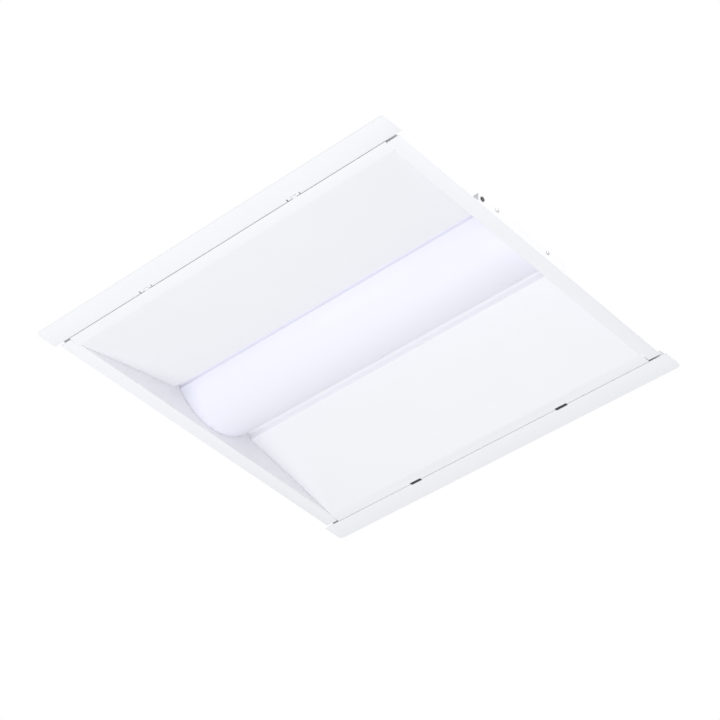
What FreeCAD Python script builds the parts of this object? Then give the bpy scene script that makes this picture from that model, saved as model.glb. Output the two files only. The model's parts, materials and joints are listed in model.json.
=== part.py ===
import FreeCAD, Part
import math
import os
import re
import Sketcher

# A recessed troffer light, face down: two mounting rails, an optical door hinged on one rail and latched
# to the other, and the lamp tray and driver housing on the door's back. Millimetres. X runs along the
# rails, Y across them and Z up; the origin is the middle of the face plane.

SIZES = {
    # rails
    "rail_length": 595.0,
    "rail_width": 33.0,
    "rail_sheet": 1.0,
    "rail_corner": 6.0,
    "seam_gap": 1.0,
    "web_offset": 6.0,
    "web_height": 16.0,
    "web_length": 570.0,
    "lip_width": 12.0,
    "fixing_pitch": 500.0,
    "fixing_hole": 2.25,
    # door and reflectors
    "door_width": 516.0,
    "door_length": 581.0,
    "panel_sheet": 0.8,
    "recess_length": 540.0,
    "side_flange": 18.0,
    "bend_reach": 120.0,
    "bend_height": 26.0,
    "crest_reach": 74.0,
    "crest_height": 34.6,
    "ledge_reach": 66.5,
    "ledge_height": 42.0,
    "ledge_lean": 2.5,
    "corner_relief": 2.5,
    "butt_gap": 0.9,
    "butt_reach": 0.9,
    "fold_reach": 0.6,
    "fit_gap": 0.2,
    # lamp tray
    "tray_half": 85.0,
    "tray_sheet": 1.0,
    "tray_height": 48.2,
    "tray_foot": 8.0,
    "end_tab": 12.0,
    "end_tab_reach": 50.0,
    "end_tab_depth": 7.2,
    # lens
    "lens_radius": 82.2,
    "lens_wall": 2.0,
    "lens_drop": 8.5,
    "lens_half": 63.5,
    "lens_brim": 5.2,
    "lens_brim_sheet": 1.5,
    # boards and chips
    "board_length": 520.0,
    "board_width": 18.0,
    "board_sheet": 1.6,
    "board_reach": 27.0,
    "chip_size": 3.0,
    "chip_height": 0.7,
    "chip_count": 24,
    "plug_length": 12.0,
    "plug_width": 7.0,
    "plug_height": 3.6,
    "plug_inset": 4.0,
    # hinges
    "hinge_pitch": 254.0,
    "hinge_width": 19.0,
    "hinge_inset": 1.0,
    "knuckle_wall": 0.6,
    "knuckle_middle": 7.0,
    "pin_radius": 1.0,
    "pin_play": 0.05,
    "pin_rise": 1.7,
    "leaf_length": 12.0,
    "side_play": 0.3,
    "hinge_notch": 22.0,
    "hinge_notch_depth": 3.5,
    # latches
    "latch_pitch": 254.0,
    "slot_length": 19.0,
    "slot_depth": 2.1,
    "cam_inset": 8.5,
    "cam_reach": 14.0,
    "cam_width": 16.0,
    "cam_heel": 6.5,
    "cam_sheet": 1.2,
    "cam_rise": 0.3,
    "stud_radius": 2.0,
    "stud_head": 3.2,
    "stud_cap": 3.6,
    "stud_cap_height": 0.8,
    # light seals
    "seal_rise": 4.2,
    "seal_sheet": 2.0,
    "seal_width": 13.0,
    "seal_upturn": 4.0,
    # driver housing
    "housing_length": 380.0,
    "housing_width": 100.0,
    "housing_height": 30.0,
    "housing_foot": 10.0,
    "partition_place": 95.0,
    "window_half": 20.0,
    "window_sill": 4.0,
    "window_height": 12.0,
    "hatch_start": 100.0,
    "hatch_rim": 8.0,
    "conduit_hole": 11.1,
    "conduit_rise": 13.4,
    "foot_screw_pitch": 160.0,
    # wiring cover
    "cover_lip": 5.0,
    "cover_play": 0.3,
    "cover_start": 98.0,
    "cover_knuckle_half": 15.0,
    "cover_knuckle_length": 12.0,
    "cover_pin_place": 94.5,
    "cover_screw_inset": 4.5,
    # driver, terminals and leads
    "driver_length": 176.0,
    "driver_width": 42.0,
    "driver_height": 22.0,
    "driver_place": -50.0,
    "driver_tab": 12.0,
    "driver_tab_sheet": 1.2,
    "driver_edge": 2.0,
    "terminal_place": 140.0,
    "terminal_length": 22.0,
    "terminal_width": 34.0,
    "terminal_height": 15.0,
    "terminal_pitch": 10.0,
    "terminal_entry": 1.9,
    "supply_lead": 1.3,
    "board_lead": 0.9,
    "lead_pitch": 2.4,
    "lead_spread": 3.0,
    "lead_bend": 14.0,
    "lead_inset": 1.4,
    "lead_turn": 10.0,
    "lead_sag": 2.8,
    "lead_hole_place": -172.0,
    "lead_hole": 6.5,
    "grommet_brim": 2.0,
    "grommet_bore": 4.8,
    "end_plug_reach": 79.0,
    "end_plug_rise": 41.0,
    "end_plug_hole": 2.6,
    "end_plug_brim": 0.7,
    # fasteners
    "screw_shank": 1.5,
    "screw_play": 0.1,
    "screw_head": 2.9,
    "screw_head_height": 1.6,
    "earth_clear": 2.5,
    "board_screw_length": 4.0,
    "sheet_screw_length": 5.0,
    "end_screw_length": 6.0,
}

# Places worked out from the sizes above.
PLACES = {
    "door_edge": "door_width/2",
    "rail_edge": "(door_edge + seam_gap)",
    "rail_outer": "(rail_edge + rail_width)",
    "web_face": "(rail_edge + web_offset)",
    "flange_inner": "(door_edge - side_flange)",
    "plate_outer": "recess_length/2",
    "plate_inner": "(plate_outer - panel_sheet)",
    "inside_half": "(plate_inner - fit_gap)",
    "crest_slope": "((crest_height - bend_height)/(bend_reach - crest_reach))",
    "tray_under": "(tray_height - tray_sheet)",
    "foot_outer_rise": "(bend_height + panel_sheet + (bend_reach - tray_half)*crest_slope)",
    "foot_inner_rise": "(foot_outer_rise + tray_foot*crest_slope)",
    "board_under": "(tray_under - board_sheet)",
    "chip_pitch": "(board_length/chip_count)",
    "board_screw_pitch": "(9*chip_pitch)",
    "plug_line": "(board_reach + board_width/2 - plug_width/2)",
    "knuckle_radius": "(pin_radius + pin_play + knuckle_wall)",
    "hinge_line": "(rail_edge + hinge_inset)",
    "cam_line": "(door_edge - cam_inset)",
    "cam_floor": "(panel_sheet + cam_rise)",
    "stud_shoulder": "(cam_floor + cam_sheet + fit_gap)",
    "fixing_line": "(web_face + rail_sheet + lip_width/2)",
    "lens_centre": "(lens_drop + lens_radius)",
    "lens_edge_rise": "(lens_centre - sqrt(lens_radius^2 - lens_half^2))",
    "brim_floor": "(ledge_height + panel_sheet)",
    "housing_top": "(tray_height + housing_height)",
    "housing_half": "housing_length/2",
    "cover_floor": "(housing_top + cover_play)",
    "cover_screw_line": "(housing_half - cover_screw_inset)",
    "screw_hole": "(screw_shank + screw_play)",
}

doc = FreeCAD.newDocument("recessed_troffer")
sheet = doc.addObject("Spreadsheet::Sheet", "Sizes")
nodes = []


def fill_sheet():
    """Write each size in a cell of its own, with its name as the alias."""
    for row, (name, size) in enumerate(SIZES.items(), start=1):
        sheet.set(f"A{row}", name)
        sheet.set(f"B{row}", str(size))
        sheet.setAlias(f"B{row}", name)
    doc.recompute()


def cells(text):
    """An expression over the sheet's cells, from one written with plain size and place names."""

    def swap(found):
        word = found.group()
        if word in PLACES:
            return f"({cells(PLACES[word])})"
        return f"Sizes.{word}" if word in SIZES else word

    return re.sub(r"[a-z_]+", swap, str(text))


def number(text):
    """The value of an expression, in millimetres."""
    return float(sheet.evalExpression(cells(text)))


def keep(thing, label):
    """Name a finished sub-part and list it for export."""
    thing.Label = label
    nodes.append(thing)
    return thing


def new_body(name):
    return doc.addObject("PartDesign::Body", name)


def attach(body, sketch, role, lift="0"):
    """Lay a sketch on one of the body's origin planes, raised along the plane's normal."""
    plane = [feature for feature in body.Origin.OriginFeatures if feature.Role == role][0]
    sketch.AttachmentSupport = (plane, "")
    sketch.MapMode = "FlatFace"
    if lift != "0":
        sketch.setExpression("AttachmentOffset.Base.z", cells(lift))


def pin_point(sketch, geometry, point, place):
    """Tie a sketch point to two expressions, counted from the sketch's origin."""
    for kind, text in zip(("DistanceX", "DistanceY"), place):
        row = sketch.addConstraint(Sketcher.Constraint(kind, -1, 1, geometry, point, number(text)))
        sketch.setExpression(f"Constraints[{row}]", cells(text))


def draw(body, name, role, loops=(), circles=(), lift="0"):
    """A sketch of closed loops of straight lines, and of circles as (x, y, radius)."""
    sketch = body.newObject("Sketcher::SketchObject", name)
    attach(body, sketch, role, lift)
    for loop in loops:
        spots = [FreeCAD.Vector(number(x), number(y), 0) for x, y in loop]
        first = sketch.GeometryCount
        for index, spot in enumerate(spots):
            sketch.addGeometry(Part.LineSegment(spot, spots[(index + 1) % len(spots)]), False)
        for index, place in enumerate(loop):
            after = first + (index + 1) % len(loop)
            sketch.addConstraint(Sketcher.Constraint("Coincident", first + index, 2, after, 1))
            pin_point(sketch, first + index, 1, place)
    for x, y, radius in circles:
        centre = FreeCAD.Vector(number(x), number(y), 0)
        ring = sketch.addGeometry(Part.Circle(centre, FreeCAD.Vector(0, 0, 1), number(radius)), False)
        pin_point(sketch, ring, 3, (x, y))
        row = sketch.addConstraint(Sketcher.Constraint("Radius", ring, number(radius)))
        sketch.setExpression(f"Constraints[{row}]", cells(radius))
    return sketch


def pad(body, sketch, length, both_ways=False, back=False):
    """Pad a sketch along its normal, or half each way."""
    feature = body.newObject("PartDesign::Pad", sketch.Name + "_pad")
    feature.Profile = sketch
    feature.SideType = "Symmetric" if both_ways else "One side"
    feature.Reversed = back
    feature.setExpression("Length", cells(length))
    body.Tip = feature
    return feature


def cut_through(body, sketch):
    """Cut a sketch through the whole body, both ways."""
    before = solid_volume(body)
    feature = body.newObject("PartDesign::Pocket", sketch.Name + "_cut")
    feature.Profile = sketch
    feature.Type = "ThroughAll"
    feature.SideType = "Symmetric"
    body.Tip = feature
    check_cut(body, before, sketch)
    return feature


def cut_depth(body, sketch, depth, back=False):
    """Cut a sketch to a depth, against its normal or along it."""
    before = solid_volume(body)
    feature = body.newObject("PartDesign::Pocket", sketch.Name + "_cut")
    feature.Profile = sketch
    feature.Reversed = back
    feature.setExpression("Length", cells(depth))
    body.Tip = feature
    check_cut(body, before, sketch)
    return feature


def solid_volume(body):
    doc.recompute()
    return body.Shape.Volume


def check_cut(body, before, sketch):
    """Stop if a cut took nothing away."""
    if not solid_volume(body) < before - 1e-6:
        raise RuntimeError(f"{sketch.Name} cuts nothing")


def place(thing, x, y, z):
    for axis, text in zip("xyz", (x, y, z)):
        thing.setExpression(f".Placement.Base.{axis}", cells(text))


def block(name, corner, size):
    """A box from its lowest corner and its three lengths."""
    box = doc.addObject("Part::Box", name)
    for side, text in zip(("Length", "Width", "Height"), size):
        box.setExpression(side, cells(text))
    place(box, *corner)
    return box


TURNS = {
    "x": FreeCAD.Rotation(FreeCAD.Vector(0, 1, 0), 90),
    "-x": FreeCAD.Rotation(FreeCAD.Vector(0, 1, 0), -90),
    "y": FreeCAD.Rotation(FreeCAD.Vector(1, 0, 0), -90),
    "z": FreeCAD.Rotation(),
    "-z": FreeCAD.Rotation(FreeCAD.Vector(1, 0, 0), 180),
}


def rod(name, start, radius, length, along="z"):
    """A cylinder from the middle of its first end."""
    cylinder = doc.addObject("Part::Cylinder", name)
    cylinder.Placement = FreeCAD.Placement(FreeCAD.Vector(), TURNS[along])
    cylinder.setExpression("Radius", cells(radius))
    cylinder.setExpression("Height", cells(length))
    place(cylinder, *start)
    return cylinder


def fuse(name, pieces):
    joined = doc.addObject("Part::MultiFuse", name)
    joined.Shapes = pieces
    return joined


def cut(name, base, tool):
    result = doc.addObject("Part::Cut", name)
    result.Base = base
    result.Tool = tool
    return result


def common(name, base, tool):
    result = doc.addObject("Part::Common", name)
    result.Base = base
    result.Tool = tool
    return result


def group(label, pieces):
    """Identical separate solids that share one node."""
    together = doc.addObject("Part::Compound", label)
    together.Links = pieces
    return keep(together, label)


def box_loop(x0, y0, x1, y1):
    """The four corners of an upright rectangle."""
    return [(x0, y0), (x1, y0), (x1, y1), (x0, y1)]


def both(pitch):
    """The two places of a pair, half a pitch each side of the middle."""
    return [f"{pitch}/2", f"-{pitch}/2"]


ENDS = {"near": 1, "far": -1}
SIDES = {"hinge_side": -1, "latch_side": 1}


def rail(label, side, notch_length, notch_depth, notch_pitch):
    """A formed steel rail: face flange with rounded ends and notches, a web, and a lip with screw holes."""
    body = new_body(label)
    face = draw(body, label + "_face", "XY_Plane", [
        box_loop("-rail_length/2", f"{side}*rail_edge", "rail_length/2", f"{side}*rail_outer")])
    flange = pad(body, face, "rail_sheet")
    doc.recompute()
    corners = []
    for index, edge in enumerate(flange.Shape.Edges, start=1):
        middle = edge.CenterOfMass
        at_end = abs(abs(middle.x) - number("rail_length/2")) < 0.01
        at_outer = abs(abs(middle.y) - number("rail_outer")) < 0.01
        if at_end and at_outer:
            corners.append(f"Edge{index}")
    rounding = body.newObject("PartDesign::Fillet", label + "_corners")
    rounding.Base = (flange, corners)
    rounding.setExpression("Radius", cells("rail_corner"))
    body.Tip = rounding
    web = draw(body, label + "_web", "YZ_Plane", [[
        (f"{side}*web_face", "rail_sheet/2"),
        (f"{side}*web_face", "web_height"),
        (f"{side}*(web_face + rail_sheet + lip_width)", "web_height"),
        (f"{side}*(web_face + rail_sheet + lip_width)", "web_height - rail_sheet"),
        (f"{side}*(web_face + rail_sheet)", "web_height - rail_sheet"),
        (f"{side}*(web_face + rail_sheet)", "rail_sheet/2")]])
    pad(body, web, "web_length", both_ways=True)
    notches = draw(body, label + "_notches", "XY_Plane", [
        box_loop(f"{x} - {notch_length}/2", f"{side}*(rail_edge - seam_gap)",
                 f"{x} + {notch_length}/2", f"{side}*(rail_edge + {notch_depth})")
        for x in both(notch_pitch)])
    cut_through(body, notches)
    holes = draw(body, label + "_holes", "XY_Plane", circles=[
        (x, f"{side}*fixing_line", "fixing_hole") for x in both("fixing_pitch")], lift="web_height")
    cut_depth(body, holes, "3*rail_sheet")
    return keep(body, label)


def seal(label, side):
    """A foam strip on the rail's web that keeps stray light out of the seam."""
    body = new_body(label)
    profile = draw(body, label + "_profile", "YZ_Plane", [[
        (f"{side}*web_face", "seal_rise"),
        (f"{side}*(web_face - seal_width)", "seal_rise"),
        (f"{side}*(web_face - seal_width)", "seal_rise + seal_sheet"),
        (f"{side}*(web_face - seal_sheet)", "seal_rise + seal_sheet"),
        (f"{side}*(web_face - seal_sheet)", "seal_rise + seal_sheet + seal_upturn"),
        (f"{side}*web_face", "seal_rise + seal_sheet + seal_upturn")]])
    pad(body, profile, "web_length", both_ways=True)
    return keep(body, label)


def knuckles(label, centre, floor, thickness, start, reach, spans):
    """A hinge leaf, rolled round the pin at each of its spans along the hinge."""
    pieces = []
    for index, (low, high) in enumerate(spans):
        pieces.append(rod(f"{label}_roll{index}", (f"{centre} + {low}", "-hinge_line", "pin_rise"),
                          "knuckle_radius", f"{high} - ({low})", "x"))
        pieces.append(block(f"{label}_finger{index}", (f"{centre} + {low}", start, floor),
                            (f"{high} - ({low})", reach, thickness)))
    solid = fuse(label + "_solid", pieces)
    bore = rod(label + "_bore", (f"{centre} - hinge_width", "-hinge_line", "pin_rise"),
               "pin_radius + pin_play", "2*hinge_width", "x")
    return cut(label + "_bored", solid, bore)


def hinge(end, sign):
    """One seam hinge: outer knuckles on the rail, a middle knuckle on the door, and the pin."""
    centre = f"{sign}*hinge_pitch/2"
    inner = "(knuckle_middle/2 + side_play)"
    rolls = knuckles("rail_knuckle_" + end, centre, "rail_sheet", "knuckle_wall", "-web_face",
                     "web_face - hinge_line - pin_radius/2",
                     [("-hinge_width/2", f"-{inner}"), (inner, "hinge_width/2")])
    strap = block(f"rail_strap_{end}", (f"{centre} - hinge_width/2", "-web_face", "rail_sheet"),
                  ("hinge_width", "web_offset - hinge_notch_depth", "knuckle_wall"))
    keep(fuse(f"rail_knuckle_{end}", [rolls, strap]), f"rail_knuckle_{end}")
    door_start = "-hinge_line + pin_radius/2"
    door_roll = knuckles("door_knuckle_" + end, centre, "panel_sheet", "knuckle_wall", door_start,
                         "hinge_line - door_edge - pin_radius/2 + leaf_length",
                         [("-knuckle_middle/2", "knuckle_middle/2")])
    door_strap = block(f"door_strap_{end}", (f"{centre} - hinge_width/2", "-door_edge + 1", "panel_sheet"),
                       ("hinge_width", "leaf_length - 1", "knuckle_wall"))
    keep(fuse(f"door_knuckle_{end}", [door_roll, door_strap]), f"door_knuckle_{end}")
    pin = rod(f"hinge_pin_{end}", (f"{centre} - hinge_width/2", "-hinge_line", "pin_rise"),
              "pin_radius", "hinge_width", "x")
    keep(pin, f"hinge_pin_{end}")


def reflector(name, side):
    """A folded reflector: side flange, slope to the crest, and the ledge that carries the lens."""
    label = "reflector_" + name
    body = new_body(label)

    def at(y, z):
        return (f"{side}*({y})", z)

    profile = draw(body, label + "_profile", "YZ_Plane", [[
        at("door_edge", "0"),
        at("flange_inner", "0"),
        at("bend_reach", "bend_height"),
        at("crest_reach", "crest_height"),
        at("crest_reach - ledge_lean", "ledge_height"),
        at("ledge_reach", "ledge_height"),
        at("ledge_reach", "ledge_height + panel_sheet"),
        at("crest_reach - ledge_lean + fold_reach", "ledge_height + panel_sheet"),
        at("crest_reach + fold_reach", "crest_height + panel_sheet - fold_reach*crest_slope"),
        at("bend_reach", "bend_height + panel_sheet"),
        at("flange_inner", "panel_sheet"),
        at("door_edge", "panel_sheet")]])
    pad(body, profile, "2*inside_half", both_ways=True)
    flange = draw(body, label + "_flange", "XY_Plane", [
        box_loop("-(plate_outer + butt_reach)", f"{side}*flange_inner",
                 "plate_outer + butt_reach", f"{side}*door_edge")])
    pad(body, flange, "panel_sheet")
    if side > 0:
        notches = draw(body, label + "_notches", "XY_Plane", [
            box_loop(f"{x} - slot_length/2", "door_edge - slot_depth",
                     f"{x} + slot_length/2", "door_edge + seam_gap")
            for x in both("latch_pitch")])
        cut_through(body, notches)
        holes = draw(body, label + "_holes", "XY_Plane", circles=[
            (x, "cam_line", "stud_head + pin_play") for x in both("latch_pitch")])
        cut_through(body, holes)
    return keep(body, label)


def end_plate(end, sign):
    """An end plate: upright web with a raised middle that closes the tray, and a face flange."""
    label = "end_plate_" + end
    body = new_body(label)
    half = [
        ("flange_inner - fit_gap", "0"),
        ("flange_inner - fit_gap", "2*panel_sheet"),
        ("bend_reach", "bend_height + 2*panel_sheet"),
        ("tray_half + tray_sheet", "foot_outer_rise + panel_sheet"),
        ("tray_half + tray_sheet", "tray_height"),
    ]
    outline = half + [(f"-({y})", z) for y, z in reversed(half)]
    web = draw(body, label + "_web", "YZ_Plane", [outline],
               lift="plate_inner" if sign > 0 else "-plate_inner")
    pad(body, web, "panel_sheet", back=sign < 0)
    x_root, x_butt, x_edge = (f"{sign}*{x}" for x in (
        "plate_inner", "(plate_outer + butt_reach + butt_gap)", "door_length/2"))
    reach = "(door_edge - corner_relief)"
    side_reach = "(flange_inner - fit_gap)"
    flange = draw(body, label + "_flange", "XY_Plane", [[
        (x_root, f"-{side_reach}"), (x_butt, f"-{side_reach}"), (x_butt, f"-{reach}"), (x_edge, f"-{reach}"),
        (x_edge, reach), (x_butt, reach), (x_butt, side_reach), (x_root, side_reach)]])
    pad(body, flange, "panel_sheet")
    circles = [(f"{y}*end_tab_reach", "tray_under - end_tab_depth/2", "screw_hole") for y in (1, -1)]
    if sign > 0:
        circles.append(("-end_plug_reach", "end_plug_rise", "end_plug_hole"))
    holes = draw(body, label + "_holes", "YZ_Plane", circles=circles,
                 lift="plate_inner - 1" if sign > 0 else "-plate_inner + 1")
    cut_depth(body, holes, "panel_sheet + 2", back=sign > 0)
    return keep(body, label)


def tray():
    """The lamp tray: a channel whose feet lie on the reflectors, with end tabs and its screw holes."""
    body = new_body("led_tray")
    right = [
        ("tray_half", "foot_outer_rise"),
        ("tray_half - tray_foot", "foot_inner_rise"),
        ("tray_half - tray_foot", "foot_inner_rise + tray_sheet"),
        ("tray_half - tray_sheet", "foot_outer_rise + tray_sheet*(1 + crest_slope)"),
        ("tray_half - tray_sheet", "tray_under"),
    ]
    left = [(f"-({y})", z) for y, z in reversed(right)]
    profile = draw(body, "tray_profile", "YZ_Plane", [
        right + left + [("-tray_half", "tray_height"), ("tray_half", "tray_height")]])
    pad(body, profile, "2*inside_half", both_ways=True)
    for end, sign in ENDS.items():
        tabs = draw(body, f"tray_tabs_{end}", "YZ_Plane", [
            box_loop(f"{y}*end_tab_reach - end_tab/2", "tray_under - end_tab_depth",
                     f"{y}*end_tab_reach + end_tab/2", "tray_under + tray_sheet/2") for y in (1, -1)],
            circles=[(f"{y}*end_tab_reach", "tray_under - end_tab_depth/2", "screw_hole") for y in (1, -1)],
            lift=f"{sign}*inside_half")
        pad(body, tabs, "tray_sheet", back=sign > 0)
    screwed = board_screw_places() + foot_screw_places() + driver_screw_places()
    circles = [(x, y, "screw_hole") for x, y in screwed]
    circles.append(("lead_hole_place", "0", "lead_hole"))
    circles.append(earth_place() + ("screw_hole",))
    holes = draw(body, "tray_holes", "XY_Plane", circles=circles, lift="tray_height + 1")
    cut_depth(body, holes, "tray_sheet + 2")
    return keep(body, "led_tray")


def board_screw_places():
    return [(f"{step}*board_screw_pitch", f"{side}*board_reach") for side in (1, -1) for step in (1, 0, -1)]


def foot_screw_places():
    return [(f"{step}*foot_screw_pitch", f"{side}*(housing_width/2 + housing_foot/2)")
            for side in (1, -1) for step in (1, 0, -1)]


def driver_screw_places():
    return [(f"driver_place + {sign}*(driver_length/2 + driver_tab/2)", "0") for sign in (1, -1)]


def earth_place():
    return ("terminal_place + terminal_length", "board_reach + board_width/2 + screw_shank + earth_clear")


def lens():
    """The frosted lens: a cylindrical bow with upright skirts and brims that hang on the ledges."""
    outer = rod("lens_outer", ("-inside_half", "0", "lens_centre"), "lens_radius", "2*inside_half", "x")
    inner = rod("lens_inner", ("-inside_half - 1", "0", "lens_centre"), "lens_radius - lens_wall",
                "2*inside_half + 2", "x")
    shell = cut("lens_shell", outer, inner)
    window = block("lens_window", ("-inside_half", "-lens_half", "lens_drop - 1"),
                   ("2*inside_half", "2*lens_half", "lens_edge_rise - lens_drop + lens_wall"))
    pieces = [common("lens_bow", shell, window)]
    skirt_floor = "lens_edge_rise - lens_wall/4"
    skirt_rise = f"brim_floor + lens_brim_sheet - ({skirt_floor})"
    for name, side in SIDES.items():
        low = "lens_half - lens_wall" if side > 0 else "-lens_half"
        pieces.append(block(f"lens_skirt_{name}", ("-inside_half", low, skirt_floor),
                            ("2*inside_half", "lens_wall", skirt_rise)))
        low = "lens_half - lens_wall" if side > 0 else "-(lens_half + lens_brim)"
        pieces.append(block(f"lens_brim_{name}", ("-inside_half", low, "brim_floor"),
                            ("2*inside_half", "lens_brim + lens_wall", "lens_brim_sheet")))
    return keep(fuse("diffuser_lens", pieces), "diffuser_lens")


def boards():
    """Two long circuit boards under the tray, each with its row of chips and its lead connector."""
    plugs = []
    for name, side in SIDES.items():
        body = new_body("led_board_" + name)
        outline = draw(body, f"board_{name}_outline", "XY_Plane", [
            box_loop("-board_length/2", f"{side}*board_reach - board_width/2",
                     "board_length/2", f"{side}*board_reach + board_width/2")],
            circles=[(x, y, "screw_hole") for x, y in board_screw_places() if y.startswith(f"{side}*")],
            lift="board_under")
        pad(body, outline, "board_sheet")
        keep(body, "led_board_" + name)
        chips = new_body("leds_" + name)
        start = "(-board_length/2 + chip_pitch/2)"
        chip = draw(chips, f"chip_{name}", "XY_Plane", [
            box_loop(f"{start} - chip_size/2", f"{side}*board_reach - chip_size/2",
                     f"{start} + chip_size/2", f"{side}*board_reach + chip_size/2")], lift="board_under")
        first = pad(chips, chip, "chip_height", back=True)
        row = chips.newObject("PartDesign::LinearPattern", f"chip_row_{name}")
        row.Originals = [first]
        row.Direction = (chip, ["H_Axis"])
        row.setExpression("Length", cells("board_length - chip_pitch"))
        row.setExpression("Occurrences", cells("chip_count"))
        chips.Tip = row
        keep(chips, "leds_" + name)
        plugs.append(block(f"plug_{name}", (
            "-board_length/2 + plug_inset", f"{side}*plug_line - plug_width/2",
            "board_under - plug_height"), ("plug_length", "plug_width", "plug_height")))
    group("board_connectors", plugs)


def screw(name, x, y, z, along, length):
    """A pan-head screw whose head stands on (x, y, z), with its shank along the way it goes in."""
    back = {"x": (-1, 0), "-x": (1, 0), "z": (0, -1), "-z": (0, 1)}[along]
    head_start = (f"{x} + {back[0]}*screw_head_height", y, f"{z} + {back[1]}*screw_head_height")
    head = rod(name + "_head", head_start, "screw_head", "screw_head_height", along)
    shank = rod(name + "_shank", head_start, "screw_shank", f"screw_head_height + {length}", along)
    return fuse(name, [head, shank])


def screws():
    """Every group of screws, each in the holes made for it."""
    group("board_screws", [screw(f"board_screw{i}", x, y, "board_under", "z", "board_screw_length")
                           for i, (x, y) in enumerate(board_screw_places())])
    group("housing_screws", [screw(f"foot_screw{i}", x, y, "tray_height + tray_sheet", "-z",
                                    "sheet_screw_length")
                             for i, (x, y) in enumerate(foot_screw_places())])
    group("driver_screws", [screw(f"driver_screw{i}", x, y, "tray_height + driver_tab_sheet", "-z",
                                    "sheet_screw_length")
                            for i, (x, y) in enumerate(driver_screw_places())])
    for end, sign in ENDS.items():
        along = "-x" if sign > 0 else "x"
        group("end_screws_" + end, [
            screw(f"end_screw_{end}{i}", f"{sign}*plate_outer", f"{y}*end_tab_reach",
                  "tray_under - end_tab_depth/2", along, "end_screw_length")
            for i, y in enumerate((1, -1))])
    keep(screw("earth_screw", *earth_place(), "tray_height", "-z", "sheet_screw_length"), "earth_screw")


def latch(end, sign):
    """A turning cam on a flush stud of the door, whose tip stands over the latch rail."""
    centre = f"{sign}*latch_pitch/2"
    disc = rod(f"cam_disc_{end}", (centre, "cam_line", "cam_floor"), "cam_reach", "cam_sheet")
    blade = block(f"cam_blade_{end}", (f"{centre} - cam_width/2", "cam_line", "cam_floor"),
                  ("cam_width", "cam_reach + 1", "cam_sheet"))
    tip = common(f"cam_tip_{end}", disc, blade)
    heel = rod(f"cam_heel_{end}", (centre, "cam_line", "cam_floor"), "cam_heel", "cam_sheet")
    plate = fuse(f"cam_plate_{end}", [tip, heel])
    bore = rod(f"cam_bore_{end}", (centre, "cam_line", "cam_floor - 1"), "stud_radius + pin_play",
               "cam_sheet + 2")
    keep(cut(f"latch_cam_{end}", plate, bore), f"latch_cam_{end}")
    head = rod(f"stud_head_{end}", (centre, "cam_line", "0"), "stud_head", "panel_sheet")
    shoulder = rod(f"stud_shoulder_{end}", (centre, "cam_line", "0"), "stud_radius", "stud_shoulder")
    cap = rod(f"stud_cap_{end}", (centre, "cam_line", "stud_shoulder"), "stud_cap", "stud_cap_height")
    keep(fuse(f"latch_stud_{end}", [head, shoulder, cap]), f"latch_stud_{end}")


def housing():
    """The driver housing: an open-bottomed steel box with feet, a partition, a hatch and a conduit hole."""
    body = new_body("driver_housing")
    outer = draw(body, "housing_outer", "XY_Plane", [
        box_loop("-housing_half", "-housing_width/2", "housing_half", "housing_width/2")], lift="tray_height")
    pad(body, outer, "housing_height")
    inner = draw(body, "housing_inner", "XY_Plane", [
        box_loop("-housing_half + tray_sheet", "-housing_width/2 + tray_sheet",
                 "housing_half - tray_sheet", "housing_width/2 - tray_sheet")], lift="tray_height")
    cut_depth(body, inner, "housing_height - tray_sheet", back=True)
    feet = draw(body, "housing_feet", "XY_Plane", [
        box_loop("-housing_half", f"{side}*(housing_width/2 - tray_sheet/2)",
                 "housing_half", f"{side}*(housing_width/2 + housing_foot)") for side in (1, -1)],
        circles=[(x, y, "screw_hole") for x, y in foot_screw_places()], lift="tray_height")
    pad(body, feet, "tray_sheet")
    wall = draw(body, "housing_partition", "YZ_Plane", [
        box_loop("-housing_width/2 + tray_sheet/2", "tray_height", "housing_width/2 - tray_sheet/2",
                 "housing_top - tray_sheet/2"),
        box_loop("-window_half", "tray_height + window_sill", "window_half",
                 "tray_height + window_sill + window_height")], lift="partition_place")
    pad(body, wall, "tray_sheet")
    hatch = draw(body, "housing_hatch", "XY_Plane", [
        box_loop("hatch_start", "-housing_width/2 + hatch_rim", "housing_half - hatch_rim",
                 "housing_width/2 - hatch_rim")],
        circles=[("cover_screw_line", "0", "screw_hole + cover_play")], lift="housing_top + 1")
    cut_depth(body, hatch, "tray_sheet + 2")
    conduit = draw(body, "housing_conduit", "YZ_Plane", circles=[
        ("0", "tray_height + conduit_rise", "conduit_hole")], lift="housing_half + 1")
    cut_depth(body, conduit, "tray_sheet + 2")
    return keep(body, "driver_housing")


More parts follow.
